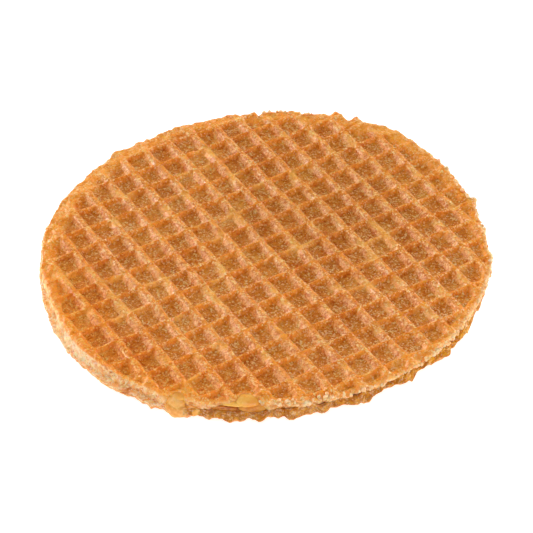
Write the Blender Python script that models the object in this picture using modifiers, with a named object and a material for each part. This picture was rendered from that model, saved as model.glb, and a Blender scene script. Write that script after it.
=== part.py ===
"""Stroopwafel: two thin waffle discs held together by a layer of caramel syrup.

Metres, +Z up. The origin is at the centre of the round outline, on the plane
the underside rests on. The waffle's two families of ridges run along X and Y.
"""
import math

import bmesh
import bpy

# ---------------------------------------------------------------- dimensions
MM = 0.001

MEAN_RADIUS = 42.4 * MM          # half of the 85 mm the biscuit measures across
WAFER_THICKNESS = 1.8 * MM       # one half of the split waffle
SYRUP_THICKNESS = 0.4 * MM
JOINT_GAP = 0.3 * MM             # clearance between touching pieces

GRID_PITCH = 5.2 * MM            # ridge to ridge, both ways
RIDGE_WIDTHS = (1.3 * MM, 0.6 * MM)      # flat on top of a ridge: those that run along Y, along X
WALL_RUN = 0.4 * MM              # how far a pocket's wall leans in over its depth
POCKET_DEPTH = 1.0 * MM
CUTTER_CLEARANCE = 0.5 * MM      # how far the pocket cutters stand out of the face
TOP_RIDGE_CROSSING = (0.15 * MM, 1.25 * MM)     # a crossing of two ridges, from the centre
BOTTOM_RIDGE_CROSSING = (0.9 * MM, 1.5 * MM)

EDGE_ROUND = 0.55 * MM           # outside edges
JOINT_ROUND = 0.2 * MM           # edges towards the syrup
OUTLINE_STEPS = 96               # corners of the outline polygons
POCKET_OVERHANG = 0.7 * MM       # a pocket is cut if its centre is no further than this into the rim

# The outline is a circle with a few slow lobes: order, height, direction in degrees.
OUTLINE_LOBES = (
    (2, 1.05 * MM, 33.0),
    (3, 0.15 * MM, 49.0),
    (4, 0.40 * MM, 36.0),
    (5, 0.15 * MM, 28.0),
    (6, 0.20 * MM, 27.0),
)

# Where the baked edge is wider than usual: direction and half angle in degrees, extra width.
RIM_WIDTH = 1.3 * MM
WIDE_RIMS = (
    (138.0, 34.0, 3.6 * MM),
    (24.0, 16.0, 2.6 * MM),
    (-147.0, 10.0, 1.6 * MM),
)

# On the front side the upper wafer reaches past the lower one, whose edge is scalloped there.
FRONT_DIRECTION = -88.0
OVERHANG, OVERHANG_SPREAD = 1.2 * MM, 22.0
SCALLOP_SPREAD, SCALLOP_STEP_OUT = 34.0, 0.1 * MM
SCALLOP_HEIGHT, SCALLOP_COUNT = 0.3 * MM, 22

# The syrup stays a little inside the edge and runs out in drips.
SYRUP_INSET = 0.9 * MM
SYRUP_DRIPS = (
    (-122.0, 5.0, 1.6 * MM),
    (-137.0, 5.0, 1.2 * MM),
    (-101.0, 3.5, 0.8 * MM),
    (22.0, 6.0, 0.6 * MM),
)

SYRUP_BASE = WAFER_THICKNESS + JOINT_GAP
TOP_BASE = SYRUP_BASE + SYRUP_THICKNESS + JOINT_GAP
TOTAL_HEIGHT = TOP_BASE + WAFER_THICKNESS       # 4.6 mm

BAKED = ((0.56, 0.26, 0.075), 0.62)             # colour and roughness
CARAMEL = ((0.50, 0.20, 0.03), 0.25)


# ------------------------------------------------------------------- outline
def swell(angle, direction, spread):
    """1 in the given direction, falling smoothly to 0 away from it. Degrees."""
    away = (math.degrees(angle) - direction + 180.0) % 360.0 - 180.0
    return math.exp(-0.5 * (away / spread) ** 2)


def outline_radius(angle):
    return MEAN_RADIUS + sum(
        height * math.cos(order * (angle - math.radians(direction)))
        for order, height, direction in OUTLINE_LOBES)


def top_radius(angle):
    return outline_radius(angle) + OVERHANG * swell(angle, FRONT_DIRECTION, OVERHANG_SPREAD)


def bottom_radius(angle):
    window = swell(angle, FRONT_DIRECTION, SCALLOP_SPREAD)
    return outline_radius(angle) + window * (
        SCALLOP_STEP_OUT + SCALLOP_HEIGHT * math.cos(SCALLOP_COUNT * angle))


def syrup_radius(angle):
    return outline_radius(angle) - SYRUP_INSET + sum(
        reach * swell(angle, direction, spread) for direction, spread, reach in SYRUP_DRIPS)


def waffled_radius(angle):
    """Where the pockets stop and the plain baked rim begins."""
    rim = RIM_WIDTH + sum(
        extra * swell(angle, direction, spread) for direction, spread, extra in WIDE_RIMS)
    return outline_radius(angle) - rim


# -------------------------------------------------------------------- pieces
def disc(name, radius_at, base, thickness, collection):
    """A cylinder primitive whose round outline is pushed out or in to radius_at."""
    bpy.ops.mesh.primitive_cylinder_add(
        vertices=OUTLINE_STEPS, radius=MEAN_RADIUS, depth=thickness,
        location=(0.0, 0.0, base + thickness / 2.0))
    piece = bpy.context.object
    piece.name = piece.data.name = name
    for vertex in piece.data.vertices:
        scale = radius_at(math.atan2(vertex.co.y, vertex.co.x)) / MEAN_RADIUS
        vertex.co.x *= scale
        vertex.co.y *= scale
    for holder in list(piece.users_collection):
        holder.objects.unlink(piece)
    collection.objects.link(piece)
    return piece


def round_rim(piece, upper, width, segments):
    """Bevel the rim of the upper or the lower face."""
    group = piece.vertex_groups.new(name="upper rim" if upper else "lower rim")
    group.add([v.index for v in piece.data.vertices if (v.co.z > 0.0) == upper], 1.0, "REPLACE")
    bevel = piece.modifiers.new("round " + group.name, "BEVEL")
    bevel.limit_method = "VGROUP"
    bevel.vertex_group = group.name
    bevel.width = width
    bevel.segments = segments


def boolean(piece, tool, operation):
    step = piece.modifiers.new(tool.name, "BOOLEAN")
    step.operation = operation
    step.solver = "EXACT"
    step.object = tool


# Corners 0 to 3 go round a pocket's floor and 4 to 7 round its mouth.
POCKET_FACES = ((0, 1, 2, 3), (4, 5, 6, 7), (0, 1, 5, 4), (1, 2, 6, 5), (2, 3, 7, 6), (3, 0, 4, 7))


def pocket_cutter(name, crossing, face_height, outward, collection):
    """Every pocket of one face. outward is 1 for an upper face and -1 for a lower one."""
    spread = WALL_RUN / POCKET_DEPTH * (POCKET_DEPTH + CUTTER_CLEARANCE)
    floor_half = [(GRID_PITCH - width) / 2.0 - WALL_RUN for width in RIDGE_WIDTHS]
    mouth_half = [half + spread for half in floor_half]
    levels = ((-outward * POCKET_DEPTH, floor_half), (outward * CUTTER_CLEARANCE, mouth_half))
    reach = int(MEAN_RADIUS / GRID_PITCH) + 2

    pockets = bmesh.new()
    for i in range(-reach, reach):
        for j in range(-reach, reach):
            x = crossing[0] + (i + 0.5) * GRID_PITCH
            y = crossing[1] + (j + 0.5) * GRID_PITCH
            if math.hypot(x, y) > waffled_radius(math.atan2(y, x)) + POCKET_OVERHANG:
                continue
            corners = [
                pockets.verts.new((x + side_x * half[0], y + side_y * half[1], height))
                for height, half in levels
                for side_x, side_y in ((-1, -1), (1, -1), (1, 1), (-1, 1))]
            for face in POCKET_FACES:
                pockets.faces.new([corners[k] for k in face])
    bmesh.ops.recalc_face_normals(pockets, faces=pockets.faces)
    mesh = bpy.data.meshes.new(name)
    pockets.to_mesh(mesh)
    pockets.free()
    cutter = bpy.data.objects.new(name, mesh)
    cutter.location.z = face_height
    collection.objects.link(cutter)

    room = POCKET_DEPTH + CUTTER_CLEARANCE
    limit = disc(name + "_limit", waffled_radius, face_height - 2.0 * room, 4.0 * room, collection)
    boolean(cutter, limit, "INTERSECT")
    return cutter


def finish(piece, looks):
    weld = piece.modifiers.new("weld", "WELD")
    weld.merge_threshold = 0.00002
    piece.modifiers.new("triangles", "TRIANGULATE")
    colour, roughness = looks
    made = bpy.data.materials.new(piece.name)
    made.use_nodes = True
    shader = made.node_tree.nodes["Principled BSDF"]
    shader.inputs["Base Color"].default_value = (*colour, 1.0)
    shader.inputs["Roughness"].default_value = roughness
    shader.inputs["Metallic"].default_value = 0.0
    piece.data.materials.append(made)


# --------------------------------------------------------------------- build
for old in list(bpy.data.objects):
    bpy.data.objects.remove(old, do_unlink=True)

parts = bpy.data.collections.new("stroopwafel")
cutters = bpy.data.collections.new("cutters")
for group in (parts, cutters):
    bpy.context.scene.collection.children.link(group)

wafer_bottom = disc("wafer_bottom", bottom_radius, 0.0, WAFER_THICKNESS, parts)
round_rim(wafer_bottom, False, EDGE_ROUND, 2)
round_rim(wafer_bottom, True, JOINT_ROUND, 1)
boolean(wafer_bottom, pocket_cutter("pockets_below", BOTTOM_RIDGE_CROSSING, 0.0, -1, cutters),
        "DIFFERENCE")

syrup = disc("syrup", syrup_radius, SYRUP_BASE, SYRUP_THICKNESS, parts)
for upper_rim in (False, True):
    round_rim(syrup, upper_rim, SYRUP_THICKNESS / 4.0, 1)

wafer_top = disc("wafer_top", top_radius, TOP_BASE, WAFER_THICKNESS, parts)
round_rim(wafer_top, True, EDGE_ROUND, 2)
round_rim(wafer_top, False, JOINT_ROUND, 1)
boolean(wafer_top, pocket_cutter("pockets_above", TOP_RIDGE_CROSSING, TOTAL_HEIGHT, 1, cutters),
        "DIFFERENCE")

for cutter in cutters.objects:
    cutter.hide_render = True
    cutter.display_type = "WIRE"

finish(wafer_bottom, BAKED)
finish(syrup, CARAMEL)
finish(wafer_top, BAKED)
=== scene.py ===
"""Looks of the stroopwafel: two pressed wafers, the caramel syrup between them, its drips and loose crumbs.

Lengths in this script are millimetres until a mesh is made. Directions round the biscuit are degrees
counter-clockwise from +X, seen from above.
"""
import math

import bmesh
import bpy
import numpy as np
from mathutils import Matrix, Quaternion, Vector
from mathutils.geometry import delaunay_2d_cdt


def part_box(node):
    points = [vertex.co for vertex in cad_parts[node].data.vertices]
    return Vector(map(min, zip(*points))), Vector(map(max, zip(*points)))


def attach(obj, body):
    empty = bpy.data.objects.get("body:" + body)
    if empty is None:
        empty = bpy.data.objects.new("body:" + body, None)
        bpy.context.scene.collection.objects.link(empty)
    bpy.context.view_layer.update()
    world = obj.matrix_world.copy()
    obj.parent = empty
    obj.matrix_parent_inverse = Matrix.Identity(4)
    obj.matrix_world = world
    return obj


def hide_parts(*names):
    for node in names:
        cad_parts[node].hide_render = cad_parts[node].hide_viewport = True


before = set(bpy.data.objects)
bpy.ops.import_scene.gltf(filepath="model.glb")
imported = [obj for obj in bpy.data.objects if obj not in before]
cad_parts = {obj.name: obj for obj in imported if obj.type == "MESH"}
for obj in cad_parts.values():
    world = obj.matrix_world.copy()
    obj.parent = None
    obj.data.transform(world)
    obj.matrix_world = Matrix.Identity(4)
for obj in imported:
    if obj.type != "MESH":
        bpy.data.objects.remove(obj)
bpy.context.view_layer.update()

MM = 0.001

# ------------------------------------------------------------------- measures
PITCH = 5.2                      # ridge to ridge
POCKET_DEPTH = 1.0
TOP_CROSSING = (0.40, 1.48)      # where two ridges cross, on the upper face
BOTTOM_CROSSING = (0.9, 1.5)

# A ridge across X, then one across Y: half of its flat top, and how far the wall runs out on its
# lower and on its higher side.
RIDGES = ((0.34, 1.25, 0.88), (0.07, 0.85, 1.00))

CORNER_BLEND = 0.12              # softens the corners of the pockets

# Unevenness of the pressed face: seed offset, strength, size across. Widths and heights are in
# millimetres, and wall run and pocket depth are shares.
UNEVEN = {
    "slow drag x": (1, 0.20, 13.0),
    "quick drag x": (2, 0.12, 4.3),
    "slow drag y": (3, 0.20, 13.0),
    "quick drag y": (4, 0.12, 4.3),
    "ridge width": (5, 0.10, 3.4),
    "wall run": (7, 0.15, 4.0),
    "pocket depth": (8, 0.13, 5.2),
    "ridge sag": (9, 1.0, 3.2),
    "crush": (10, 1.0, 8.0),
    "pocket floor": (12, 0.06, 1.1),
    "face": (14, 0.10, 12.0),
    "pocket outline": (15, 0.08, 1.7),
    "fine pocket outline": (16, 0.05, 0.8),
    "pale": (40, 1.0, 2.9),
}
RIDGE_SAG = 0.05
PALE_CRUSH, SLOW_CRUSH = 0.30, 0.22          # how far ridges are pressed down, in pale and in other patches
GRAIN_HEIGHT, GRAIN_SIZE = 0.03, 0.7         # relief of the whole face
CRUMBLE_HEIGHT, CRUMBLE_SIZE, CRUMBLE_BAND = 0.9, 1.0, 3.2   # breakage along ragged edges
WANDER_SIZE, FINE_WANDER_SIZE = 2.6, 0.75    # of a ragged outline
SIDE_LUMP_SIZE, SIDE_GRAIN_SIZE, PORE_SIZE = 1.5, 0.55, 0.9

# Grid lines across one pitch, as distances from the ridge: close together on the walls.
LINE_STEPS = (
    (-2.15, -1.72, -1.44, -1.24, -1.06, -0.88, -0.71, -0.55, -0.38,
     -0.12, 0.16, 0.36, 0.52, 0.70, 0.88, 1.06, 1.3, 1.8, 2.45),
    (-2.2, -1.65, -1.20, -0.98, -0.80, -0.64, -0.48, -0.33, -0.17,
     0.0, 0.15, 0.30, 0.48, 0.68, 0.90, 1.15, 1.45, 1.85, 2.4),
)
EDGE_BAND = 1.6                  # outside this distance from the edge the mesh follows the outline
SEAM = 0.20                      # room between the grid's cells and that band
GRID_REACH = 9                   # pitches from the middle to the last grid line
BAND_STEPS = (1.6, 1.3, 1.05, 0.82, 0.62, 0.44, 0.30, 0.18, 0.08, 0.0)
SIDE_STEPS = (0.09, 0.18, 0.28, 0.38, 0.48, 0.58, 0.68, 0.78, 0.88, 0.95, 1.0)
AROUND = 1040                    # points around the outline

# The rim, direction by direction: plain band at ridge height, width over which the pockets fade in,
# pocket depth left in the band (share), sink of the edge, rounding, raggedness, paleness of the edge.
RIM_TOP = (
    (-180, 0.6, 0.8, 0.10, 0.20, 0.45, 0.10, 0.2),
    (-165, 0.4, 0.5, 0.00, 0.15, 0.40, 0.10, 0.1),
    (-150, 0.4, 0.5, 0.00, 0.15, 0.40, 0.12, 0.1),
    (-135, 0.6, 0.5, 0.05, 0.20, 0.50, 0.18, 0.3),
    (-120, 0.8, 0.6, 0.10, 0.25, 0.45, 0.28, 0.5),
    (-105, 0.8, 0.8, 0.30, 0.20, 0.35, 0.26, 0.4),
    (-90, 1.1, 0.8, 0.45, 0.15, 0.30, 0.22, 0.4),
    (-75, 1.3, 0.9, 0.40, 0.10, 0.30, 0.16, 0.4),
    (-60, 1.3, 0.8, 0.20, 0.10, 0.30, 0.12, 0.7),
    (-45, 1.0, 0.6, 0.15, 0.10, 0.30, 0.10, 1.0),
    (-30, 0.8, 0.8, 0.30, 0.10, 0.30, 0.18, 1.0),
    (-15, 0.8, 1.2, 0.40, 0.15, 0.30, 0.24, 0.9),
    (0, 1.6, 1.4, 0.35, 0.20, 0.35, 0.24, 0.8),
    (14, 2.2, 1.4, 0.25, 0.20, 0.50, 0.20, 0.7),
    (28, 3.0, 1.6, 0.25, 0.20, 0.55, 0.14, 0.5),
    (42, 2.4, 1.6, 0.25, 0.20, 0.40, 0.32, 0.6),
    (60, 2.2, 1.6, 0.30, 0.20, 0.35, 0.28, 0.4),
    (80, 2.3, 1.6, 0.25, 0.20, 0.40, 0.24, 0.3),
    (100, 2.5, 1.8, 0.20, 0.25, 0.45, 0.18, 0.2),
    (120, 2.9, 2.0, 0.15, 0.30, 0.50, 0.14, 0.1),
    (140, 2.6, 2.0, 0.22, 0.35, 0.55, 0.14, 0.0),
    (160, 1.6, 2.0, 0.28, 0.30, 0.55, 0.14, 0.1),
)
RIM_BOTTOM = (
    (-180, 0.5, 0.8, 0.50, 0.15, 0.50, 0.16, 0.3),
    (-130, 0.3, 0.5, 0.80, 0.10, 0.40, 0.20, 0.3),
    (-90, 0.1, 0.3, 1.00, 0.05, 0.35, 0.12, 0.3),
    (-40, 0.1, 0.3, 1.00, 0.05, 0.35, 0.10, 0.3),
    (0, 0.5, 0.8, 0.70, 0.15, 0.50, 0.16, 0.3),
    (50, 1.0, 3.0, 0.45, 0.20, 0.50, 0.14, 0.3),
    (110, 1.6, 2.4, 0.30, 0.20, 0.50, 0.12, 0.3),
    (150, 1.0, 1.2, 0.40, 0.20, 0.50, 0.14, 0.3),
)

# The joint between the halves, direction by direction: height, gap, how far it lies inside the edge,
# share of open crumb (1) or of brown crust (0) on the side.
JOINT = (
    (-180, 1.9, -0.20, -0.45, 1.0),
    (-165, 1.9, -0.20, -0.50, 0.9),
    (-155, 1.8, -0.20, -0.30, 0.95),
    (-144, 1.8, -0.20, -0.05, 0.8),
    (-136, 2.2, 0.05, 0.25, 0.2),
    (-124, 2.1, 0.05, 0.25, 0.2),
    (-112, 2.6, 0.02, 0.20, 0.2),
    (-100, 3.0, -0.02, 0.10, 0.1),
    (-85, 3.2, 0.0, 0.05, 0.0),
    (-60, 3.3, 0.0, 0.05, 0.0),
    (-25, 3.2, 0.15, 0.15, 0.0),
    (0, 2.8, 0.25, 0.30, 0.3),
    (40, 2.4, 0.25, 0.35, 0.6),
    (90, 2.3, 0.25, 0.30, 0.4),
    (130, 2.2, 0.15, 0.20, 0.8),
    (155, 2.0, -0.10, 0.05, 1.0),
)

INNER_JOINT, INNER_GAP = 2.3, 0.3        # height and gap well inside the edge
LIP_DEPTH = 0.35                 # how far in the joint keeps its outer height
JOINT_DEPTH = 2.2                # how far in it reaches its inner height

# Directions in which the looks change: direction, half angle.
AMBER_SIDE = (-123.0, 14.0)      # where syrup has soaked into the upper half's side
CRUSTED_EDGE = (-82.0, 20.0)     # where crust comes down over the upper half's side
PALE_SIDE = (-173.0, 10.0)       # where the cut side is palest
BRIGHT_RIM = (145.0, 40.0)       # where the plain rim is brightest
WARM_SIDE = (-172.0, 40.0)       # where the crust is most orange
WARM_BAND = (14.0, 5.0)          # distances from the edge between which that fades in
SHADED_PATCH = (15.0, 6.0, 14.0)      # where the crust is painted a little darker, as painted shade: x, y, spread
RIM_BAND = (5.0, 1.5)            # distances from the edge between which the plain rim's colour fades in

# Local shifts of the grid where the hot waffle was dragged: x, y, spread, shift in x, shift in y.
GRID_DRAGS = (
    (34.0, 17.0, 13.0, 0.0, 0.95),
    (-38.0, -14.0, 9.0, 0.0, -1.1),
    (-32.0, -29.0, 5.0, -0.4, -0.8),
    (5.0, 40.0, 12.0, 0.35, 0.0),
)

# Bites and bulges of the two outlines: direction, half angle, outward distance.
TOP_NICKS = (
    (-155.0, 8.0, -0.3),
    (-143.5, 2.2, 0.6),
    (-140.5, 1.2, -0.8),
    (-134.6, 2.4, 0.4),
    (-130.5, 1.0, -0.5),
    (-124.2, 2.6, -2.0),
    (-119.5, 1.2, 0.3),
    (-97.0, 14.0, 0.25),
    (-66.0, 11.0, 0.15),
    (-38.0, 6.0, 0.25),
    (-30.0, 2.2, -0.5),
    (-23.5, 1.5, 0.45),
    (-22.0, 5.0, -0.5),
    (-14.5, 2.5, 0.3),
    (-12.3, 1.1, 0.5),
    (-11.2, 0.45, 0.5),
    (4.0, 4.0, 0.3),
    (10.0, 3.0, 0.35),
    (24.0, 5.0, 0.85),
    (26.5, 2.0, 0.5),
    (31.8, 1.0, -0.5),
    (35.3, 0.7, 0.7),
    (37.2, 0.6, -0.7),
    (40.6, 1.1, 1.5),
    (49.0, 0.8, -0.5),
    (55.0, 5.0, 0.55),
    (61.0, 0.9, -0.8),
    (67.0, 7.0, 0.65),
    (74.5, 1.2, -0.4),
    (80.0, 6.0, 0.55),
    (103.3, 1.8, 0.8),
    (112.0, 16.0, 0.35),
    (165.0, 8.0, -0.35),
    (171.0, 10.0, -0.50),
)
BOTTOM_NICKS = (
    (-170.0, 9.0, 0.7),
    (-155.5, 4.0, 0.6),
    (-148.2, 1.2, 0.9),
    (-145.9, 0.6, 1.1),
    (-140.3, 2.3, 1.1),
    (-137.0, 1.3, 0.7),
    (-133.2, 1.2, 0.6),
    (-130.0, 3.0, 0.5),
    (-126.8, 1.9, 0.9),
    (-121.5, 1.7, 1.85),
    (-118.3, 0.8, -0.5),
    (-114.5, 1.9, 1.15),
    (-106.6, 1.6, 2.1),
    (-103.4, 0.9, -0.3),
    (-99.0, 1.7, 1.5),
    (-94.7, 1.5, 1.2),
    (-91.5, 1.3, 1.0),
    (-86.0, 1.5, 1.3),
    (-83.2, 1.3, 0.6),
    (-78.3, 1.9, 0.6),
    (-72.2, 2.2, 1.0),
    (-69.0, 0.8, 0.5),
    (-67.4, 0.7, -0.6),
    (-62.0, 4.8, 0.95),
    (-50.0, 8.0, -0.2),
)

# The syrup layer, as distance inside its edge and height from its middle, over and under.
SYRUP_PROFILE = (
    (12.0, 0.32), (4.0, 0.32), (2.0, 0.34), (1.3, 0.36), (0.8, 0.35), (0.45, 0.31),
    (0.2, 0.23), (0.06, 0.12), (0.0, 0.0), (0.06, -0.12), (0.2, -0.23), (0.45, -0.31),
    (0.8, -0.35), (1.3, -0.36), (2.0, -0.34), (4.0, -0.32), (12.0, -0.32),
)
SYRUP_INSET = 0.95
SYRUP_SWELL = (-116.0, 22.0, 0.45)       # where it comes nearer to the edge: direction, half angle, distance
LOWEST_SYRUP = 0.05                      # drips stop this far above the ground

# Syrup that has run out between the halves: direction, half angle, outward distance, rise.
SYRUP_RUNS = (
    (-131.0, 2.5, 0.7, 0.3),
    (-103.0, 2.4, 0.7, 0.2),
    (20.0, 5.0, 0.4, 0.1),
)

# Syrup that hangs on the side in drips: direction, distance out, height, then half its width, its
# thickness outwards and half its height, its lean outwards from foot to head, and how milky it is;
# a negative share paints it darker towards the layer's colour, as painted shade on a pool's lower part.
SYRUP_DRIPS = (
    (-124.0, 42.20, 3.70, 2.6, 1.10, 0.55, -0.6, 0.2),
    (-127.0, 42.65, 3.30, 1.8, 0.55, 0.35, -0.2, 0.1),
    (-123.6, 42.60, 2.70, 2.3, 0.60, 1.00, -0.5, -0.55),
    (-138.3, 43.00, 3.10, 1.5, 0.60, 0.70, -0.2, 0.1),
    (-140.2, 43.10, 3.75, 1.4, 0.95, 0.60, -0.3, 0.3),
    (-140.6, 43.90, 2.75, 1.7, 0.75, 1.20, -0.5, 0.7),
    (-140.4, 44.35, 1.60, 2.2, 0.70, 1.45, -0.4, 0.9),
    (-136.8, 43.75, 1.45, 1.8, 0.60, 0.95, -0.2, 0.3),
)

# Syrup stains on the upper face: x, y, half width along X and along Y, strength.
SYRUP_STAINS = (
    (39.2, 17.0, 1.2, 3.5, 0.45),
    (35.5, 22.5, 1.5, 1.5, 0.4),
    (-33.5, -27.0, 2.0, 1.2, 0.6),
)

# Crumbs along the upper half's edge: first and last direction, how many, lowest and highest.
CRUMBS = (
    (-128.0, -56.0, 130, 3.3, 3.9),
    (-118.0, -100.0, 26, 3.8, 4.5),
    (-56.0, -20.0, 60, 3.4, 4.2),
    (-20.0, 8.0, 34, 3.9, 4.4),
    (44.0, 60.0, 14, 3.9, 4.4),
    (-180.0, -146.0, 26, 2.2, 3.8),
)
CRUMB_RADIUS = (0.16, 0.46)


# ---------------------------------------------------------------------- noise
LATTICE = 40                     # random values along each side of a field's lattice
LAYER_SHRINK, LAYER_FADE = 1.9, 0.55     # each layer's size and strength next to the one before
_lattices = {}


def field(seed, size, x, y, z=0.0):
    """A smooth random field from -1 to 1 whose bumps are about size across."""
    if seed not in _lattices:
        _lattices[seed] = np.random.default_rng(seed).uniform(-1.0, 1.0, (LATTICE,) * 3)
    values = _lattices[seed]
    turn = 0.6 + seed
    x, y, z = np.broadcast_arrays(np.asarray(x, float), y, z)
    spots = (np.stack([x * math.cos(turn) - y * math.sin(turn),
                       x * math.sin(turn) + y * math.cos(turn), z]) / size + 1000.0 + seed * 3.7)
    cell = np.floor(spots).astype(int)
    part = spots - cell
    part = part * part * part * (part * (part * 6.0 - 15.0) + 10.0)
    low, high = cell % LATTICE, (cell + 1) % LATTICE
    total = 0.0
    for i, wi in ((low[0], 1 - part[0]), (high[0], part[0])):
        for j, wj in ((low[1], 1 - part[1]), (high[1], part[1])):
            for k, wk in ((low[2], 1 - part[2]), (high[2], part[2])):
                total = total + values[i, j, k] * wi * wj * wk
    return total


def layered(seed, size, x, y, z=0.0, layers=3):
    return sum(field(seed + 11 * n, size / LAYER_SHRINK ** n, x, y, z) * LAYER_FADE ** n
               for n in range(layers))


def ease(share):
    return share * share * (3.0 - 2.0 * share)


def smooth(start, end, value):
    return ease(np.clip((value - start) / (end - start), 0.0, 1.0))


def near_direction(theta, direction, spread):
    away = (np.degrees(theta) - direction + 180.0) % 360.0 - 180.0
    return np.exp(-0.5 * (away / spread) ** 2)


def around_table(table, theta):
    """The table's columns at each angle, joined smoothly all the way round."""
    directions = np.array([row[0] for row in table], float)
    degrees = (np.degrees(theta) - directions[0]) % 360.0 + directions[0]
    places = np.append(directions, directions[0] + 360.0)
    spot = np.clip(np.searchsorted(places, degrees, side="right") - 1, 0, len(places) - 2)
    share = ease((degrees - places[spot]) / (places[spot + 1] - places[spot]))
    columns = []
    for column in range(1, len(table[0])):
        values = np.array([row[column] for row in table], float)
        values = np.append(values, values[0])
        columns.append(values[spot] * (1.0 - share) + values[spot + 1] * share)
    return columns


# -------------------------------------------------------------------- outline
OUTLINE_CORNERS = 96             # corners of the CAD outlines


def cad_outline(node):
    """Radius of a CAD node's outline as a function of direction, in millimetres."""
    corners = np.array([v.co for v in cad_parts[node].data.vertices]) / MM
    angle = np.arctan2(corners[:, 1], corners[:, 0])
    radius = np.hypot(corners[:, 0], corners[:, 1])
    slots = np.round((angle + math.pi) / (2.0 * math.pi) * OUTLINE_CORNERS).astype(int) % OUTLINE_CORNERS
    widest = np.array([radius[slots == s].max() for s in range(OUTLINE_CORNERS)])
    places = (np.arange(OUTLINE_CORNERS) / float(OUTLINE_CORNERS)) * 2.0 * math.pi - math.pi
    return lambda theta: np.interp((theta + math.pi) % (2.0 * math.pi) - math.pi,
                                   np.append(places, math.pi), np.append(widest, widest[0]))


def all_round():
    """Directions of the points around the outline, with their cosines and sines."""
    theta = np.arange(AROUND) / AROUND * 2.0 * math.pi - math.pi
    return theta, np.cos(theta), np.sin(theta)


def ring_faces(first, rings):
    """Quads between rings of AROUND points that follow one another from the first point on."""
    step = np.arange(AROUND)
    after = (step + 1) % AROUND
    faces = []
    for ring in range(rings - 1):
        a, b = first + ring * AROUND, first + (ring + 1) * AROUND
        faces += np.stack([a + step, b + step, b + after, a + after], 1).tolist()
    return faces


def last_ring(first, rings):
    return (first + (rings - 1) * AROUND + np.arange(AROUND))[::-1].tolist()


# --------------------------------------------------------------------- wafers
LOOKS = ("pocket", "pale", "side", "pits", "edge_pale", "crumbly", "bar_shade", "painted_sheen", "rim",
         "warm", "shaded_patch")


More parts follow.
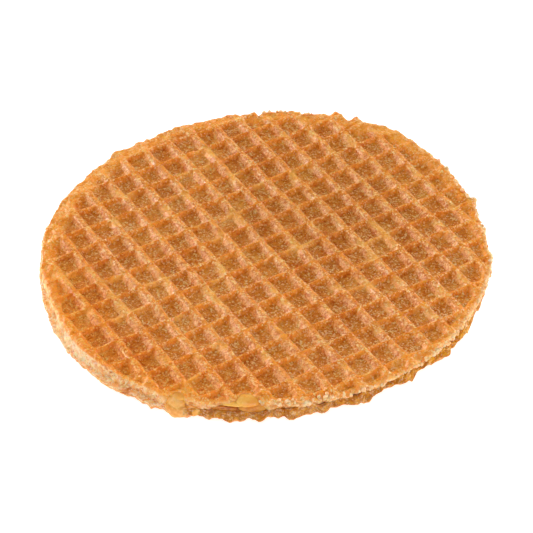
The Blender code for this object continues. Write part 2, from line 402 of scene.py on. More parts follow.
class Wafer:
    """One half of the waffle. It is worked out face up, with its ridge tops at height 0."""

    def __init__(self, node, seed, crossing, rim, nicks, drags, plane, upward):
        self.outline = cad_outline(node)
        self.seed, self.crossing, self.rim = seed, crossing, rim
        self.nicks, self.drags = nicks, drags
        self.plane, self.upward = plane, upward      # height of the ridge tops, and 1 up or -1 down

    def edge(self, theta):
        return self.outline(theta) + sum(
            reach * near_direction(theta, direction, spread) for direction, spread, reach in self.nicks)

    def inside_edge(self, x, y, theta):
        return self.edge(theta) - np.hypot(x, y)

    def uneven(self, name, p, q):
        offset, strength, size = UNEVEN[name]
        return strength * field(self.seed + offset, size, p, q)

    def from_ridges(self, p, q):
        """Distance to the nearest ridge of each family, negative on its lower side."""
        return [(a - c + PITCH / 2.0) % PITCH - PITCH / 2.0
                for a, c in ((p, self.crossing[0]), (q, self.crossing[1]))]

    def drag(self, p, q):
        """Shift of the point that was at p, q on a perfect grid."""
        shift_x = self.uneven("slow drag x", p, q) + self.uneven("quick drag x", p, q)
        shift_y = self.uneven("slow drag y", p, q) + self.uneven("quick drag y", p, q)
        for x, y, spread, dx, dy in self.drags:
            weight = np.exp(-0.5 * ((p - x) ** 2 + (q - y) ** 2) / spread ** 2)
            shift_x, shift_y = shift_x + dx * weight, shift_y + dy * weight
        return shift_x, shift_y

    def undrag(self, x, y):
        p, q = x, y
        for _ in range(4):
            shift_x, shift_y = self.drag(p, q)
            p, q = x - shift_x, y - shift_y
        return p, q

    def face(self, p, q, away, theta):
        """Height of the face, depth in a pocket, paleness, nearness to the ridges across Y (whose tops get
        painted shade), and painted sheen on the lit flank of the ridges across X, each 0 to 1.
        """
        plain, fade, left, sink, rounding, ragged = around_table(self.rim, theta)[:6]
        offsets = self.from_ridges(p, q)
        wider = self.uneven("ridge width", p, q)
        longer = 1.0 + self.uneven("wall run", p, q)
        wobble = self.uneven("pocket outline", p, q) + self.uneven("fine pocket outline", p, q)
        sunk = []
        for offset, (flat, low_run, high_run) in zip(offsets, RIDGES):
            run = np.where(offset < 0.0, low_run, high_run) * longer
            start = flat + wider
            sunk.append(smooth(start, start + run, np.abs(offset) + wobble))
        in_u, in_v = sunk
        mix = np.clip(0.5 + 0.5 * (in_v - in_u) / CORNER_BLEND, 0.0, 1.0)
        pocket = in_v * (1.0 - mix) + in_u * mix - CORNER_BLEND * mix * (1.0 - mix)
        pocket = np.clip(pocket, 0.0, 1.0)
        band = smooth(plain, plain + fade, away)
        pocket = pocket * (left + (1.0 - left) * band)

        depth = POCKET_DEPTH * (1.0 + self.uneven("pocket depth", p, q))
        ridge = -RIDGE_SAG * (1.0 + self.uneven("ridge sag", p, q))
        pale = smooth(0.44, 0.68, self.uneven("pale", p, q))
        crushed = (PALE_CRUSH * pale + SLOW_CRUSH * smooth(0.35, 0.75, self.uneven("crush", p, q)))
        crushed = crushed * (1.0 - pocket)
        height = ridge - crushed - depth * pocket
        height += (self.uneven("pocket floor", p, q) * pocket
                   + GRAIN_HEIGHT * layered(self.seed + 13, GRAIN_SIZE, p, q))
        height += self.uneven("face", p, q)
        crumble = ragged * smooth(CRUMBLE_BAND, 0.4, away)
        height += CRUMBLE_HEIGHT * crumble * layered(self.seed + 17, CRUMBLE_SIZE, p, q, layers=2)
        height -= sink * (1.0 - smooth(0.0, plain + 0.8 * fade + 0.5, away))
        short = np.clip(1.0 - away / rounding, 0.0, 1.0)
        height -= rounding * (1.0 - np.sqrt(np.maximum(1.0 - short * short, 0.0)))

        # painted sheen: the flank on the lower side of the ridges across X faces the lamps on the left and
        # is painted a paler pink-tan in place of its highlight
        across, along = offsets
        lit = smooth(0.25, 0.0, across) * (0.45 + 0.55 * smooth(0.0, -0.5, across))
        sheen = lit * smooth(0.97, 0.65, in_u) * smooth(0.0, 0.35, in_v)
        sheen = sheen * np.where(along < 0.0, smooth(-0.5, -2.0, along), 1.0)
        # The first share marks the ridges across Y, whose tops get painted shade; the second is the painted
        # sheen.
        bars = np.stack([1.0 - in_v, sheen]) * (0.4 + 0.6 * band)
        return height, pocket, pale * (1.0 - 0.6 * pocket), bars

    def looks(self, pocket, pale, bars, open_side, pits, away, theta):
        """Columns of the surface's looks, in the order of LOOKS."""
        plain, edge_pale = [around_table(self.rim, theta)[k] for k in (0, 6)]
        pale_width = 0.75 + 0.55 * np.maximum(plain - 1.3, 0.0)
        edge_pale = edge_pale * smooth(pale_width, 0.0, away)
        crumbly = around_table(JOINT, theta)[3]
        if self.upward > 0:
            crumbly = 1.0 - near_direction(theta, *AMBER_SIDE)
        crumbly = crumbly + 0.3 * near_direction(theta, *PALE_SIDE)
        out = self.edge(theta) - away
        x, y = out * np.cos(theta), out * np.sin(theta)
        patch_x, patch_y, patch_spread = SHADED_PATCH
        shaded_patch = np.exp(-0.5 * ((x - patch_x) ** 2 + (y - patch_y) ** 2) / patch_spread ** 2)
        warm = near_direction(theta, *WARM_SIDE) * smooth(*WARM_BAND, away)
        rim = (smooth(*RIM_BAND, away) * (1.0 - open_side)
               * (1.0 + 0.5 * near_direction(theta, *BRIGHT_RIM)))
        return np.stack(np.broadcast_arrays(
            pocket, pale, open_side, pits, edge_pale, crumbly, *bars, rim, warm, shaded_patch), 1)

    def grid(self):
        """Lines of the undragged grid, which cells lie inside, numbers of the points, points, looks."""
        lines = [np.array([self.crossing[axis] + k * PITCH + s for k in range(-GRID_REACH, GRID_REACH + 1)
                           for s in LINE_STEPS[axis]]) for axis in (0, 1)]
        p, q = np.meshgrid(lines[0], lines[1], indexing="ij")
        dx, dy = self.drag(p, q)
        x, y = p + dx, q + dy
        theta = np.arctan2(y, x)
        away = self.inside_edge(x, y, theta)
        inside = away > EDGE_BAND + SEAM
        cells = inside[:-1, :-1] & inside[1:, :-1] & inside[:-1, 1:] & inside[1:, 1:]
        used = np.zeros_like(inside)
        for a in (slice(0, -1), slice(1, None)):
            for b in (slice(0, -1), slice(1, None)):
                used[a, b] |= cells
        number = np.full(used.shape, -1)
        number[used] = np.arange(used.sum())
        x, y, away, theta = x[used], y[used], away[used], theta[used]
        height, pocket, pale, bars = self.face(p[used], q[used], away, theta)
        looks = self.looks(pocket, pale, bars, 0.0, 0.0, away, theta)
        return lines, cells, number, np.stack([x, y, height], 1), looks

    def build(self):
        """Points in the object's frame, faces, and each point's looks."""
        lines, cells, number, grid_points, grid_looks = self.grid()
        i, j = np.nonzero(cells)
        corners = [number[i, j], number[i + 1, j], number[i + 1, j + 1], number[i, j + 1]]
        faces = np.stack(corners, 1).tolist()

        first = len(grid_points)
        rings = self.rim_rings() + self.side_rings()
        points = [grid_points] + [ring_points for ring_points, _ in rings]
        looks = [grid_looks] + [ring_looks for _, ring_looks in rings]
        faces += ring_faces(first, len(rings))
        faces.append(last_ring(first, len(rings)))
        faces += self.join_band(lines, cells, number, points, first)
        points = np.concatenate(points)
        points[:, 2] = self.plane + self.upward * points[:, 2]
        if self.upward < 0:
            faces = [face[::-1] for face in faces]
        return points, faces, np.concatenate(looks)

    def rim_rings(self):
        """Rings along the outline, from the band's inner side to the edge."""
        theta, cos, sin = all_round()
        edge = self.edge(theta)
        ragged = around_table(self.rim, theta)[5]
        wander = ragged * (
            layered(self.seed + 20, WANDER_SIZE, edge * cos, edge * sin, layers=2)
            + 0.9 * layered(self.seed + 21, FINE_WANDER_SIZE, edge * cos, edge * sin, layers=2))
        rings = []
        for away in BAND_STEPS:
            radius = edge - away + wander * smooth(EDGE_BAND, 0.2, away)
            x, y = radius * cos, radius * sin
            p, q = self.undrag(x, y)
            height, pocket, pale, bars = self.face(p, q, np.full(AROUND, away), theta)
            open_side = 0.45 * float(smooth(0.25, 0.0, away)) * (1.0 - self.crusted(theta))
            rings.append((np.stack([x, y, height], 1),
                          self.looks(pocket, pale, bars, open_side, 0.0, away, theta)))
        self.edge_ring = rings[-1][0]
        return rings

    def crusted(self, theta):
        """Share of the upper edge where the crust comes down over the side."""
        return near_direction(theta, *CRUSTED_EDGE) if self.upward > 0 else 0.0 * theta

    def side_rings(self):
        """Rings down the side to the joint, then two further in."""
        theta, cos, sin = all_round()
        ragged = around_table(self.rim, theta)[5]
        joint, gap, inset, crumbly = around_table(JOINT, theta)
        x, y, start = self.edge_ring.T
        end = (joint - self.plane) * self.upward + gap / 2.0
        rings = []
        for level in SIDE_STEPS:
            height = start + (end - start) * level
            z = self.plane + self.upward * height
            crumb = layered(30, SIDE_LUMP_SIZE, x, y, z * 1.3, layers=3)
            fine = field(36, SIDE_GRAIN_SIZE, x, y, z)
            pits = smooth(0.20, 0.70, field(34, PORE_SIZE, x, y, z * 1.2))
            push = (0.05 + 0.30 * ragged + 0.03 * crumbly) * crumb + 0.06 * fine
            push = push - (0.05 + 0.14 * crumbly + 0.25 * ragged) * pits
            push = push * min(1.0, level * 5.0) - inset * float(smooth(0.35, 1.0, level))
            open_side = 1.0 - 0.9 * self.crusted(theta) * float(smooth(0.55, 0.30, level))
            rings.append((np.stack([x + push * cos, y + push * sin, height], 1),
                          self.looks(0.0, 0.0, (0.0, 0.0), open_side, pits, 0.0, theta)))
        base, looks = rings[-1]
        inner = (INNER_GAP / 2.0 + (INNER_JOINT - self.plane) * self.upward)
        for inward, level in ((LIP_DEPTH, base[:, 2]), (JOINT_DEPTH, np.full(AROUND, inner))):
            share = 1.0 - inward / np.hypot(base[:, 0], base[:, 1])
            rings.append((np.stack([base[:, 0] * share, base[:, 1] * share, level], 1), looks))
        return rings

    def join_band(self, lines, cells, number, points, first):
        """Triangles between the stepped edge of the grid and the first ring."""
        padded = np.pad(cells, 1)
        edges = set()
        for i, j in zip(*np.nonzero(cells)):
            if not padded[i, j + 1]:
                edges.add((number[i, j], number[i, j + 1]))
            if not padded[i + 2, j + 1]:
                edges.add((number[i + 1, j], number[i + 1, j + 1]))
            if not padded[i + 1, j]:
                edges.add((number[i, j], number[i + 1, j]))
            if not padded[i + 1, j + 2]:
                edges.add((number[i, j + 1], number[i + 1, j + 1]))
        stepped = sorted({n for e in edges for n in e})
        place = {n: k for k, n in enumerate(stepped)}
        base = len(stepped)
        spots = [Vector(points[0][n, :2]) for n in stepped] + [Vector(xy) for xy in points[1][:, :2]]
        wires = [(place[a], place[b]) for a, b in edges]
        wires += [(base + k, base + (k + 1) % AROUND) for k in range(AROUND)]
        triangles, origins = [delaunay_2d_cdt(spots, wires, [], 0, 1e-7, True)[k] for k in (2, 3)]
        corners = np.array([[origins[t][0] for t in triangle] for triangle in triangles])
        flat = np.array([tuple(s) for s in spots])[corners]
        x, y = flat.mean(axis=1).T
        first_side, second_side = flat[:, 1] - flat[:, 0], flat[:, 2] - flat[:, 0]
        turn = first_side[:, 0] * second_side[:, 1] - first_side[:, 1] * second_side[:, 0]
        p, q = self.undrag(x, y)
        in_cell = cells[np.searchsorted(lines[0], p) - 1, np.searchsorted(lines[1], q) - 1]
        in_ring = self.inside_edge(x, y, np.arctan2(y, x)) > EDGE_BAND
        ids = np.array(stepped + list(range(first, first + AROUND)))
        kept = ids[corners]
        kept[turn < 0] = kept[turn < 0][:, ::-1]
        return kept[in_ring & ~in_cell & (np.abs(turn) > 1e-9)].tolist()


def mesh_object(name, points, faces, material):
    mesh = bpy.data.meshes.new(name)
    mesh.from_pydata((np.asarray(points) * MM).tolist(), [], faces)
    mesh.validate()
    mesh.update()
    mesh.polygons.foreach_set("use_smooth", [True] * len(mesh.polygons))
    mesh.materials.append(material)
    piece = bpy.data.objects.new(name, mesh)
    bpy.context.scene.collection.objects.link(piece)
    return piece


def unit_ball(levels):
    """Points and triangles of a ball of radius 1."""
    form = bmesh.new()
    bmesh.ops.create_icosphere(form, subdivisions=levels, radius=1.0)
    form.verts.index_update()
    spots = np.array([v.co for v in form.verts])
    triangles = [[v.index for v in f.verts] for f in form.faces]
    form.free()
    return spots, triangles


def attribute(piece, name, values):
    piece.data.attributes.new(name, "FLOAT", "POINT").data.foreach_set(
        "value", np.asarray(values, np.float32))


# ------------------------------------------------------------------ materials
def srgb(red, green, blue):
    """Linear colour from the 0 to 255 numbers a screen uses."""
    return tuple(
        c / 12.92 if c <= 0.04045 else ((c + 0.055) / 1.055) ** 2.4
        for c in (red / 255.0, green / 255.0, blue / 255.0))


# A pair of colours is the two ends of a noise.
RIDGE_TOPS = (srgb(246, 154, 58), srgb(236, 137, 36))
# Walls and pocket floors are darker and more saturated than the tops: partly the crust's own colour, partly
# painted shade in the pockets.
WALLS_AND_SHADE = (srgb(240, 140, 10), srgb(222, 120, 2))
POCKET_FLOORS_AND_SHADE = (srgb(226, 134, 34), srgb(206, 110, 18))
# Painted sheen: the pale pink-tan that stands in for the highlight on the lit ridge flanks.
RIDGE_SHEEN = (srgb(216, 134, 70), srgb(236, 176, 128))
BLOTS = (srgb(176, 76, 2), srgb(255, 200, 110))
PALE_CRUST = srgb(250, 186, 92)
BRIGHT_CRUST = srgb(255, 162, 52)
CREAM_EDGE = srgb(252, 206, 146)
DARK_GRAIN_AND_SHADE, AMBER_GRAIN = srgb(190, 84, 0), srgb(255, 186, 60)
# Painted highlights on grains: pale sparkle and glint.
SPARKLE_GRAIN, GLINT = srgb(255, 214, 148), srgb(255, 224, 172)
WARM_FILTER, SHADE_FILTER = (1.0, 0.86, 0.45), (0.90, 0.88, 0.74)
LOWER_CRUST_AND_SHADE = srgb(190, 108, 28)
OPEN_CRUMB = (srgb(255, 213, 158), srgb(248, 178, 100))
CRUMB_STREAK, CRUMB_PORE_SHADE = srgb(220, 126, 42), srgb(206, 110, 30)
CRUMB_PALEST, CRUMB_TOASTED = srgb(253, 224, 188), srgb(212, 122, 44)
CRUMB_GLINT = srgb(255, 236, 204)
LOWER_SIDE_AND_SHADE = (srgb(216, 146, 26), srgb(164, 92, 0))
LOWER_SIDE_DARK, LOWER_SIDE_LIGHT = srgb(120, 58, 0), srgb(246, 190, 104)
SOAKED_SIDE = (srgb(244, 186, 104), srgb(214, 132, 44))
SYRUP_STAIN = srgb(232, 156, 40)
SYRUP, SYRUP_CLOUD = (srgb(255, 192, 88), srgb(250, 164, 58)), srgb(255, 204, 120)
THIN_SYRUP_AND_SHADE = (srgb(216, 136, 44), srgb(180, 96, 20))
MILKY_SYRUP = (srgb(246, 182, 106), srgb(228, 150, 68))
LOOSE_CRUMB = (srgb(255, 216, 168), srgb(244, 182, 118))
FLOOR_WHITE = (srgb(208, 208, 208), srgb(204, 204, 204))

GRAIN, SMALL_GRAIN = 0.46, 0.31  # sizes of the two kinds of grain, across


class Nodes:
    """Short hand for building a material's node tree."""

    def __init__(self, name):
        self.material = bpy.data.materials.new(name)
        self.material.use_nodes = True
        self.tree = self.material.node_tree
        self.shader = self.tree.nodes["Principled BSDF"]
        self.place = self.new("ShaderNodeTexCoord").outputs["Object"]

    def new(self, kind, **settings):
        node = self.tree.nodes.new(kind)
        for name, value in settings.items():
            setattr(node, name, value)
        return node

    def feed(self, socket, value):
        if isinstance(value, bpy.types.NodeSocket):
            self.tree.links.new(value, socket)
        elif isinstance(value, tuple) and len(value) == 3 and socket.type == "RGBA":
            socket.default_value = (*value, 1.0)
        else:
            socket.default_value = value

    def value_of(self, name):
        return self.new("ShaderNodeAttribute", attribute_name=name).outputs["Fac"]

    def texture(self, kind, where, size_mm, **settings):
        node = self.new(kind)
        self.feed(node.inputs["Vector"], where)
        node.inputs["Scale"].default_value = 1.0 / (size_mm * MM)
        for name, value in settings.items():
            node.inputs[name].default_value = value
        return node

    def noise(self, size_mm, detail=2.0, rough=0.5, warp=0.0):
        return self.texture("ShaderNodeTexNoise", self.place, size_mm,
                            Detail=detail, Roughness=rough, Distortion=warp).outputs["Fac"]

    def ramp(self, value, low, high, to_low=0.0, to_high=1.0):
        node = self.new("ShaderNodeMapRange", interpolation_type="SMOOTHSTEP")
        for socket, given in zip(node.inputs, (value, low, high, to_low, to_high)):
            self.feed(socket, given)
        return node.outputs["Result"]

    def math(self, operation, a, b=0.0, clamp=False):
        node = self.new("ShaderNodeMath", operation=operation, use_clamp=clamp)
        self.feed(node.inputs[0], a)
        self.feed(node.inputs[1], b)
        return node.outputs[0]

    def times(self, a, b):
        return self.math("MULTIPLY", a, b)

    def plus(self, a, b):
        return self.math("ADD", a, b)

    def mix(self, share, a, b, mode="MIX"):
        node = self.new("ShaderNodeMix", data_type="RGBA", blend_type=mode)
        self.feed(node.inputs[0], share)
        self.feed(node.inputs[6], a)
        self.feed(node.inputs[7], b)
        return node.outputs[2]

    def bump(self, height, distance_mm, strength=1.0, after=None):
        node = self.new("ShaderNodeBump")
        node.inputs["Strength"].default_value = strength
        node.inputs["Distance"].default_value = distance_mm * MM
        self.feed(node.inputs["Height"], height)
        if after is not None:
            self.feed(node.inputs["Normal"], after)
        return node.outputs["Normal"]

    def set(self, **inputs):
        for name, value in inputs.items():
            self.feed(self.shader.inputs[name.replace("_", " ")], value)


def grains(n, size_mm):
    """Two random values of each grain, and how near its middle a point lies."""
    wander = n.texture("ShaderNodeTexNoise", n.place, 1.3 * size_mm, Detail=1.0)
    shift = n.new("ShaderNodeVectorMath", operation="MULTIPLY_ADD")
    n.feed(shift.inputs[0], wander.outputs["Color"])
    shift.inputs[1].default_value = (1.5 * size_mm * MM,) * 3
    n.feed(shift.inputs[2], n.place)
    node = n.texture("ShaderNodeTexVoronoi", shift.outputs[0], size_mm)
    parts = n.new("ShaderNodeSeparateColor")
    n.feed(parts.inputs[0], node.outputs["Color"])
    return parts.outputs[0], parts.outputs[1], n.ramp(node.outputs["Distance"], 0.66, 0.22)


def grain_looks(n, pocket, pale_edge):
    """Each grain's tone, how near its middle a point lies, where grains get painted sparkle highlights and
    where painted glints.
    """
    tone, kind, middle = grains(n, GRAIN)
    cluster = n.ramp(n.noise(2.4, 1.0), 0.35, 0.65, -0.12, 0.12)
    kind = n.plus(n.plus(kind, cluster), n.times(pale_edge, 0.30))
    sparkle = n.times(n.ramp(kind, 0.62, 0.80), middle)
    _, small_kind, small_middle = grains(n, SMALL_GRAIN)
    sparkle = n.math("MAXIMUM", sparkle, n.times(n.ramp(small_kind, 0.68, 0.84), small_middle))
    on_wall = n.times(n.ramp(pocket, 0.05, 0.30), n.ramp(pocket, 0.95, 0.70))
    sparkle = n.times(sparkle, n.math("SUBTRACT", 1.0, n.times(on_wall, 0.45)))
    glint = n.times(n.ramp(small_kind, 0.93, 0.97), small_middle)
    return tone, middle, sparkle, glint


def crust_colour(n, pocket, pale_edge, tone, sparkle, glint):
    """Baked crust: orange walls and brown floors, partly painted shade in the pockets, painted shade and
    painted sheen on the ridges, slow browning, pale patches, and grain by grain with painted sparkle.
    """
    slow = n.ramp(n.noise(8.0, 3.0), 0.40, 0.66)
    # Pocket walls and floors darken partly as painted shade.
    top, wall, ground = [n.mix(slow, *pair) for pair in (RIDGE_TOPS, WALLS_AND_SHADE, POCKET_FLOORS_AND_SHADE)]
    # Painted shade: tops of the ridges across Y are painted towards the darker wall colour.
    top = n.mix(n.times(n.value_of("bar_shade"), 0.75), top, wall)
    colour = n.mix(n.ramp(pocket, 0.02, 0.40), top, wall)
    colour = n.mix(n.ramp(pocket, 0.60, 0.95), colour, ground)
    mottle = n.ramp(n.noise(0.40, 1.0), 0.42, 0.58)
    # Painted sheen on the lit flanks of the ridges across X.
    colour = n.mix(n.times(n.value_of("painted_sheen"), 0.85), colour, n.mix(mottle, *RIDGE_SHEEN))
    blots = n.ramp(n.noise(1.4, 2.0, 0.6), 0.40, 0.60)
    colour = n.mix(blots, n.mix(0.30, colour, BLOTS[0]), n.mix(0.10, colour, BLOTS[1]))
    patches = n.ramp(n.noise(3.4, 2.0, warp=0.4), 0.68, 0.80, 0.0, 0.5)
    patches = n.math("MAXIMUM", n.value_of("pale"), patches)
    colour = n.mix(n.times(patches, 0.6), colour, PALE_CRUST)
    colour = n.mix(n.times(n.value_of("rim"), 0.50), colour, BRIGHT_CRUST)
    colour = n.mix(n.times(pale_edge, 0.80), colour, CREAM_EDGE)

    # Dark grains of random tone, made stronger towards the pocket floors as painted shade.
    dark = n.times(n.ramp(tone, 0.30, 1.0, 0.0, 0.68), n.ramp(pocket, 0.55, 0.95, 0.55, 1.0))
    colour = n.mix(dark, colour, DARK_GRAIN_AND_SHADE)
    colour = n.mix(n.times(mottle, 0.25), colour, AMBER_GRAIN)
    # Painted highlights: pale sparkle and glints painted on single grains.
    colour = n.mix(n.times(sparkle, 0.88), colour, SPARKLE_GRAIN)
    colour = n.mix(n.times(glint, 0.5), colour, GLINT)
    colour = n.mix(n.value_of("warm"), colour, WARM_FILTER, "MULTIPLY")
    # Painted shade: a patch of the face painted a little darker.
    return n.mix(n.value_of("shaded_patch"), colour, SHADE_FILTER, "MULTIPLY")


def side_colour(n, browner_and_shaded, tone, sparkle):
    """The open side: pale crumb with tan streaks, painted shade in its pores, brown crust where it is
    closed, and painted sparkle.
    """
    crumbly = n.value_of("crumbly")
    crumb = n.mix(n.ramp(n.noise(1.1, 3.0, 0.6), 0.40, 0.62), *OPEN_CRUMB)
    crumb = n.mix(n.ramp(n.noise(0.6, 2.0, 0.6), 0.56, 0.70, 0.0, 0.7), crumb, CRUMB_STREAK)
    # Painted shade: the crumb is darker in its pits.
    crumb = n.mix(n.times(n.value_of("pits"), 0.75), crumb, CRUMB_PORE_SHADE)
    crumb = n.mix(n.ramp(crumbly, 1.0, 1.6, 0.0, 0.7), crumb, CRUMB_PALEST)
    closed = n.math("SUBTRACT", 1.0, crumbly, clamp=True)
    if browner_and_shaded:
        # On the lower half the closed side is brown crust, darker partly as painted shade under the upper
        # half.
        crust = n.mix(n.ramp(n.noise(1.3, 3.0, 0.6), 0.40, 0.62), *LOWER_SIDE_AND_SHADE)
        crust = n.mix(n.ramp(tone, 0.3, 1.0, 0.0, 0.6), crust, LOWER_SIDE_DARK)
        crust = n.mix(n.ramp(n.noise(0.9, 2.0), 0.58, 0.70, 0.0, 0.5), crust, LOWER_SIDE_LIGHT)
        crumb = n.mix(closed, crumb, crust)
    else:
        soaked = n.mix(n.ramp(n.noise(0.9, 3.0, 0.6), 0.40, 0.62), *SOAKED_SIDE)
        crumb = n.mix(n.times(closed, 0.6), crumb, soaked)
    crumb = n.mix(n.ramp(tone, 0.55, 1.0, 0.0, 0.45), crumb, CRUMB_TOASTED)
    # Painted sparkle on single grains of the side.
    return n.mix(n.times(sparkle, n.ramp(closed, 0.0, 1.0, 0.65, 0.25)), crumb, CRUMB_GLINT)


def baked_wafer(name, browner_and_shaded):
    n = Nodes(name)
    pocket, side, stain = n.value_of("pocket"), n.value_of("side"), n.value_of("stain")
    pale_edge = n.value_of("edge_pale")
    tone, middle, sparkle, glint = grain_looks(n, pocket, pale_edge)
    colour = crust_colour(n, pocket, pale_edge, tone, sparkle, glint)
    # The lower half is painted browner: partly its own crust, partly painted shade under the upper half.
    if browner_and_shaded:
        colour = n.mix(0.30, colour, LOWER_CRUST_AND_SHADE)
    colour = n.mix(n.ramp(side, 0.25, 0.75), colour, side_colour(n, browner_and_shaded, tone, sparkle))
    colour = n.mix(n.times(stain, 0.8), colour, SYRUP_STAIN)

    rough = n.ramp(n.noise(0.5, 2.0), 0.3, 0.7, 0.26, 0.46)
    rough = n.plus(rough, n.times(side, 0.25))
    rough = n.math("SUBTRACT", rough, n.times(stain, 0.2), clamp=True)
    gloss = n.plus(n.ramp(tone, 0.30, 1.0, 0.33, 0.10), n.times(sparkle, 0.30))
    gloss = n.times(gloss, n.ramp(side, 0.2, 0.8, 1.0, 0.15 if browner_and_shaded else 0.5))
    n.set(Base_Color=colour, Roughness=rough, Specular_IOR_Level=gloss,
          Subsurface_Weight=0.7, Subsurface_Radius=(1.0, 0.42, 0.16), Subsurface_Scale=0.32 * MM)

    relief = n.bump(n.noise(1.3, 3.0, 0.6), 0.14, 0.7)
    relief = n.bump(middle, 0.10, 0.6, relief)
    relief = n.bump(n.noise(0.30, 1.5, 0.6), 0.10, 0.5, relief)
    coarse = n.plus(side, n.times(n.ramp(pocket, 0.75, 0.98), 0.7))
    relief = n.bump(n.times(n.noise(0.55, 3.0, 0.65), coarse), 0.30, 0.9, relief)
    n.set(Normal=relief)
    return n.material


def caramel(name):
    n = Nodes(name)
    colour = n.mix(n.ramp(n.noise(2.2, 3.0), 0.38, 0.62), *SYRUP)
    colour = n.mix(n.ramp(n.noise(0.9, 3.0), 0.58, 0.7, 0.0, 0.4), colour, SYRUP_CLOUD)
    # The layer, seen in the gap between the halves, is darker brown: the syrup's thin edge, and painted
    # shade in that gap.
    thin_and_shade = n.mix(n.ramp(n.noise(0.8, 3.0), 0.40, 0.62), *THIN_SYRUP_AND_SHADE)
    milk = n.mix(n.ramp(n.noise(0.7, 3.0), 0.40, 0.62), *MILKY_SYRUP)
    colour = n.mix(n.times(n.value_of("milk_and_shade"), 0.9), colour, milk)
    colour = n.mix(n.value_of("drip"), thin_and_shade, colour)
    n.set(Base_Color=colour, Roughness=n.ramp(n.noise(1.2), 0.3, 0.7, 0.14, 0.32),
          Specular_IOR_Level=0.35, Subsurface_Weight=0.3,
          Subsurface_Radius=(1.0, 0.55, 0.25), Subsurface_Scale=0.8 * MM)
    n.set(Normal=n.bump(n.noise(1.5, 2.0), 0.12, 0.5))
    return n.material


def crumb_lumps(name):
    n = Nodes(name)
    colour = n.mix(n.ramp(n.noise(0.5, 3.0), 0.40, 0.60), *LOOSE_CRUMB)
    n.set(Base_Color=colour, Roughness=n.ramp(n.noise(0.3), 0.3, 0.7, 0.35, 0.6), Specular_IOR_Level=0.3,
          Subsurface_Weight=0.5, Subsurface_Radius=(1.0, 0.5, 0.25), Subsurface_Scale=0.3 * MM)
    n.set(Normal=n.bump(n.noise(0.25, 2.0), 0.08, 0.8))
    return n.material


def pale_floor():
    n = Nodes("pale_floor")
    n.set(Base_Color=n.mix(n.noise(40.0), *FLOOR_WHITE), Roughness=0.7,
          Emission_Color=(1.0, 1.0, 1.0), Emission_Strength=0.80)
    return n.material


# --------------------------------------------------------------------- pieces
wafer_material = baked_wafer("wafer_crust", False)
under_material = baked_wafer("wafer_crust_lower_shaded", True)
syrup_material = caramel("caramel_syrup")

top_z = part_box("wafer_top")[1][2] / MM
low_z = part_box("wafer_bottom")[0][2] / MM


def add_wafer(name, node, wafer, material, stains):
    points, faces, looks = wafer.build()
    piece = mesh_object(name, points, faces, material)
    for label, values in zip(LOOKS, looks.T):
        attribute(piece, label, values)
    stain = np.zeros(len(points))
    for x, y, wide, long, strength in stains:
        stain += strength * np.exp(
            -0.5 * (((points[:, 0] - x) / wide) ** 2 + ((points[:, 1] - y) / long) ** 2))
    attribute(piece, "stain", np.clip(stain, 0.0, 1.0))
    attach(piece, "root")
    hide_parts(node)


upper_half = Wafer("wafer_top", 100, TOP_CROSSING, RIM_TOP, TOP_NICKS, GRID_DRAGS, top_z, 1)
lower_half = Wafer("wafer_bottom", 300, BOTTOM_CROSSING, RIM_BOTTOM, BOTTOM_NICKS, (), low_z, -1)
add_wafer("wafer_top_baked", "wafer_top", upper_half, wafer_material, SYRUP_STAINS)
add_wafer("wafer_bottom_baked", "wafer_bottom", lower_half, under_material, ())


def build_crumbs():
    """Pale crumbs that cling to the upper half's broken edge, as small rough lumps."""
    draw = np.random.default_rng(77)
    ball, ball_faces = unit_ball(2)
    points, faces = [], []
    for start, end, count, low, high in CRUMBS:
        for _ in range(count):
            theta = math.radians(draw.uniform(start, end))
            edge = float(upper_half.edge(np.array([theta]))[0])
            size = draw.uniform(*CRUMB_RADIUS) * draw.uniform(0.7, 1.0)
            height = draw.uniform(low, high)
            lump = ball * size * draw.uniform(0.7, 1.25, 3)
            rough = field(710, 0.5, *(lump + draw.uniform(-60.0, 60.0, 3)).T)
            lump = lump * (1.0 + 0.5 * rough)[:, None]
            out = edge - 0.05 - 0.35 * smooth(3.9, 4.5, height) + draw.uniform(-0.15, 0.15)
            middle = np.array([out * math.cos(theta), out * math.sin(theta), height])
            faces += [[len(points) * len(ball) + k for k in face] for face in ball_faces]
            points.append(lump + middle)
    return np.concatenate(points), faces


crumbs = mesh_object("loose_crumbs", *build_crumbs(), crumb_lumps("pale_crumb"))
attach(crumbs, "root")


def syrup_rings():
    """The layer of syrup, whose soft edge swells out, as rings from over its middle to under it."""
    theta, cos, sin = all_round()
    direction, spread, reach = SYRUP_SWELL
    edge = cad_outline("wafer_top")(theta) - SYRUP_INSET + reach * near_direction(theta, direction, spread)
    edge = edge + 0.30 * layered(500, 3.0, 42 * cos, 42 * sin, layers=2)
    lift = np.zeros(AROUND)
    for direction, spread, reach, rise in SYRUP_RUNS:
        weight = near_direction(theta, direction, spread)
        edge = edge + reach * weight
        lift = lift + rise * weight
    rings = []
    for inset, level in SYRUP_PROFILE:
        near = smooth(1.6, 0.3, inset) * smooth(-0.1, 0.25, abs(level))
        middle = INNER_JOINT + (around_table(JOINT, theta)[0] - INNER_JOINT) * smooth(0.9, 0.1, inset)
        radius = edge - inset
        x, y = radius * cos, radius * sin
        z = middle + level + (lift if level > 0 else 0.0) * near
        rings.append(np.stack([x, y, z + 0.04 * field(510, 1.6, x, y)], 1))
    return rings


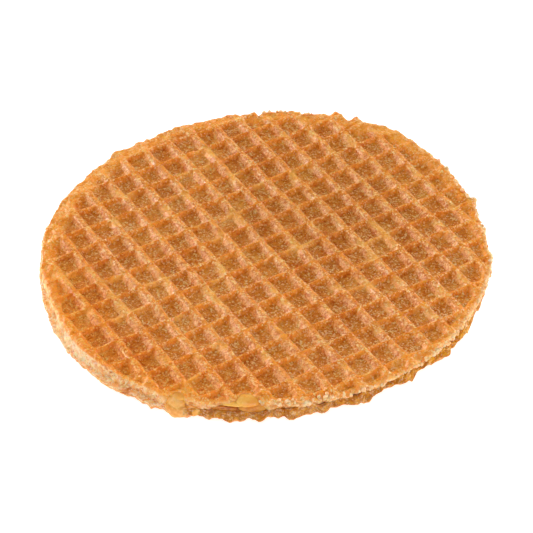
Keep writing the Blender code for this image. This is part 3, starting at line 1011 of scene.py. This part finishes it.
def build_syrup():
    """Points and faces of the layer and its drips, and for each point its share of drip and of milk; a
    negative milk share lowers the drip share as painted shade.
    """
    points = syrup_rings()
    layer = len(points) * AROUND
    faces = ring_faces(0, len(points)) + [list(range(AROUND)), last_ring(0, len(points))]
    milk_and_shade_shares = [0.0] * layer
    ball, ball_faces = unit_ball(4)
    for direction, distance, height, wide, thick, tall, lean, milk_and_shade in SYRUP_DRIPS:
        first = sum(len(p) for p in points)
        along, out, up = ball.T * np.array([[wide], [thick], [tall]])
        swell = 1.0 + 0.24 * layered(520, 1.4, along + 7.0 * direction, out, up, layers=2)
        along, out, up = along * swell, out * swell + lean * up / tall, up * swell
        turn = math.radians(direction) + along / distance
        points.append(np.stack([(distance + out) * np.cos(turn), (distance + out) * np.sin(turn),
                                np.maximum(height + up, LOWEST_SYRUP)], 1))
        faces += [[first + k for k in face] for face in ball_faces]
        milk_and_shade_shares += [milk_and_shade] * len(ball)
    points, milk_and_shade_shares = np.concatenate(points), np.array(milk_and_shade_shares)
    # A negative milk share pulls a drip towards the darker layer colour: painted shade.
    in_drip = (np.arange(len(points)) >= layer) * (1.0 + np.minimum(milk_and_shade_shares, 0.0))
    return points, faces, in_drip, milk_and_shade_shares


points, faces, in_drip, milk_and_shade = build_syrup()
syrup = mesh_object("syrup_layer", points, faces, syrup_material)
attribute(syrup, "drip", in_drip)
attribute(syrup, "milk_and_shade", milk_and_shade)
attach(syrup, "root")
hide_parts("syrup")

# ------------------------------------------------------- floor, light, camera
FLOOR_SIDE, FLOOR_DROP = 6.0, 0.0001     # metres; the drop keeps it clear of the underside
VIEW_AZIMUTH, VIEW_ELEVATION, VIEW_ROLL = -29.4, 39.05, 1.4
VIEW_DISTANCE, VIEW_LENS, VIEW_SENSOR = 442.9, 162.1, 36.0
VIEW_TARGET = (-2.75, -5.65, 4.5)
LAMP_DISTANCE, LAMP_SIZE = 1.2, 0.6      # metres
WORLD_STRENGTH = 0.31

# Lamps: degrees round from the camera, elevation, power.
LAMPS = (
    ("back_left", -135.0, 10.0, 13.2),
    ("back_right", 135.0, 10.0, 9.2),
    ("right", 90.0, 10.0, 5.6),
    ("left", -90.0, 35.0, 3.1),
    ("front", 0.0, 10.0, 2.3),
    ("overhead", 0.0, 64.0, 3.2),
)

bpy.ops.mesh.primitive_plane_add(size=FLOOR_SIDE, location=(0.0, 0.0, low_z * MM - FLOOR_DROP))
floor = bpy.context.object
floor.name = "floor"
floor.data.materials.append(pale_floor())


def aimed(azimuth, elevation):
    a, e = math.radians(azimuth), math.radians(elevation)
    return Vector((math.sin(a) * math.cos(e), -math.cos(a) * math.cos(e), math.sin(e)))


def place_facing_middle(name, data, direction, location, roll=0.0):
    """An object at the location that looks against the direction."""
    holder = bpy.data.objects.new(name, data)
    holder.location = location
    holder.rotation_mode = "QUATERNION"
    holder.rotation_quaternion = (
        direction.to_track_quat("Z", "Y") @ Quaternion((0, 0, 1), -math.radians(roll)))
    bpy.context.scene.collection.objects.link(holder)
    return holder


lens = bpy.data.cameras.new("camera")
lens.lens, lens.sensor_width, lens.clip_start = VIEW_LENS, VIEW_SENSOR, 0.01
back = aimed(VIEW_AZIMUTH, VIEW_ELEVATION)
bpy.context.scene.camera = place_facing_middle(
    "camera", lens, back, (Vector(VIEW_TARGET) + back * VIEW_DISTANCE) * MM, VIEW_ROLL)

for name, turn, elevation, power in LAMPS:
    lamp = bpy.data.lights.new(name, "AREA")
    lamp.shape, lamp.size, lamp.energy = "DISK", LAMP_SIZE, power
    towards = aimed(VIEW_AZIMUTH + turn, elevation)
    place_facing_middle(name, lamp, towards, towards * LAMP_DISTANCE)

world = bpy.data.worlds.new("studio")
bpy.context.scene.world = world
world.use_nodes = True
world.node_tree.nodes["Background"].inputs["Color"].default_value = (1.0, 1.0, 1.0, 1.0)
world.node_tree.nodes["Background"].inputs["Strength"].default_value = WORLD_STRENGTH
bpy.context.scene.view_settings.view_transform = "Standard"
